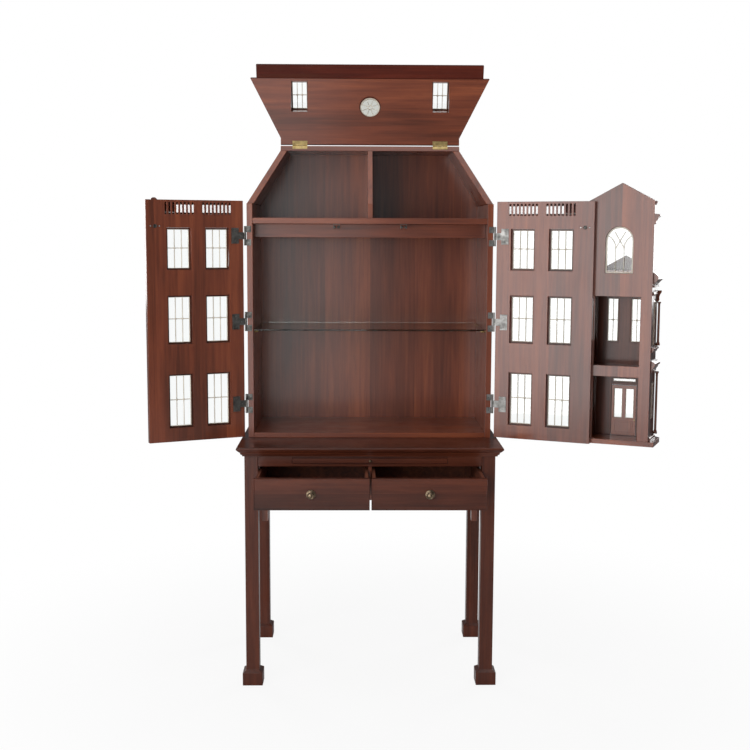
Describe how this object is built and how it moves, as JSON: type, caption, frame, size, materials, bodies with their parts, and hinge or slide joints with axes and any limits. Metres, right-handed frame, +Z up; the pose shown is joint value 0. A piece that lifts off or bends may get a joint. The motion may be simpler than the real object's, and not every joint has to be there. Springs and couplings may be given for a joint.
{
  "type": "dollhouse display cabinet",
  "caption": "Mahogany dollhouse display cabinet on a stand: windowed facade doors with an entrance bay, lifting roof flap, rooms, glass shelf, drawers and a pull-out slide.",
  "frame": {"origin": "on the floor, under the middle of the box round the object as it stands open", "axes": "+Z up, -Y towards the viewer, +X to the viewer's right"},
  "size_m": [1.5002, 0.6492, 1.8338],
  "materials": {
    "mahogany": "gloss lacquer over red-brown mahogany",
    "drawer_wood": "matt, unlacquered",
    "brass": "satin",
    "hinge_steel": "satin",
    "glass": "polished"
  },
  "bodies": {
    "cabinet": {"apron_back": "mahogany", "apron_left": "mahogany", "apron_right": "mahogany", "attic_divider": "mahogany", "attic_floor": "mahogany", "cabinet_back": "mahogany", "cabinet_floor": "mahogany", "cabinet_side_left": "mahogany", "cabinet_side_right": "mahogany", "drawer_divider": "mahogany", "front_rail": "mahogany", "glass_shelf": "glass", "left_catch": "hinge_steel", "left_hinge_1_fixed_leaf": "hinge_steel", "left_hinge_2_fixed_leaf": "hinge_steel", "left_hinge_3_fixed_leaf": "hinge_steel", "left_roof_hinge_fixed_leaf": "brass", "leg_back_left": "mahogany", "leg_back_right": "mahogany", "leg_front_left": "mahogany", "leg_front_right": "mahogany", "right_catch": "hinge_steel", "right_hinge_1_fixed_leaf": "hinge_steel", "right_hinge_2_fixed_leaf": "hinge_steel", "right_hinge_3_fixed_leaf": "hinge_steel", "right_roof_hinge_fixed_leaf": "brass", "roof_slope_left": "mahogany", "roof_slope_right": "mahogany", "roof_top": "mahogany", "stand_top": "mahogany", "valance_rail": "mahogany"},
    "left_door": {"left_door": "mahogany", "left_hinge_1_door_leaf": "hinge_steel", "left_hinge_2_door_leaf": "hinge_steel", "left_hinge_3_door_leaf": "hinge_steel"},
    "right_door": {"bay_base": "mahogany", "bay_cornice": "mahogany", "bay_frame": "mahogany", "bay_middle_floor": "mahogany", "bay_walls": "mahogany", "right_door": "mahogany", "right_hinge_1_door_leaf": "hinge_steel", "right_hinge_2_door_leaf": "hinge_steel", "right_hinge_3_door_leaf": "hinge_steel"},
    "entrance_door": {"entrance_door": "mahogany"},
    "roof_flap": {"flap_strip": "mahogany", "left_dormer": "mahogany", "left_roof_hinge_moving_leaf": "brass", "right_dormer": "mahogany", "right_roof_hinge_moving_leaf": "brass", "roof_flap": "mahogany"},
    "left_drawer": {"left_drawer_box": "drawer_wood", "left_drawer_front": "mahogany", "left_drawer_knob": "brass"},
    "right_drawer": {"right_drawer_box": "drawer_wood", "right_drawer_front": "mahogany", "right_drawer_knob": "brass"},
    "slide_board": {"slide_board": "mahogany", "slide_knob": "brass"}
  },
  "joints": [
    {"name": "left_door_hinge", "type": "hinge", "parent": "cabinet", "child": "left_door", "pos_m": [-0.47246, 0.0087, 1.063], "axis": [0, 0, 1], "range_deg": [-22, 156]},
    {"name": "right_door_hinge", "type": "hinge", "parent": "cabinet", "child": "right_door", "pos_m": [0.26454, 0.0087, 1.063], "axis": [0, 0, -1], "range_deg": [-22, 156]},
    {"name": "entrance_door_hinge", "type": "hinge", "parent": "right_door", "child": "entrance_door", "pos_m": [0.61618, -0.02882, 0.8], "axis": [0, 0, -1], "range_deg": [0, 80]},
    {"name": "roof_flap_hinge", "type": "hinge", "parent": "cabinet", "child": "roof_flap", "pos_m": [-0.10396, 0.13014, 1.589], "axis": [1, 0, 0], "range_deg": [0, 161.56]},
    {"name": "left_drawer_slide", "type": "slide", "parent": "cabinet", "child": "left_drawer", "axis": [0, -1, 0], "range_m": [-0.165, 0.12]},
    {"name": "right_drawer_slide", "type": "slide", "parent": "cabinet", "child": "right_drawer", "axis": [0, -1, 0], "range_m": [-0.165, 0.12]},
    {"name": "slide_board_slide", "type": "slide", "parent": "cabinet", "child": "slide_board", "axis": [0, -1, 0], "range_m": [0, 0.22]}
  ]
}
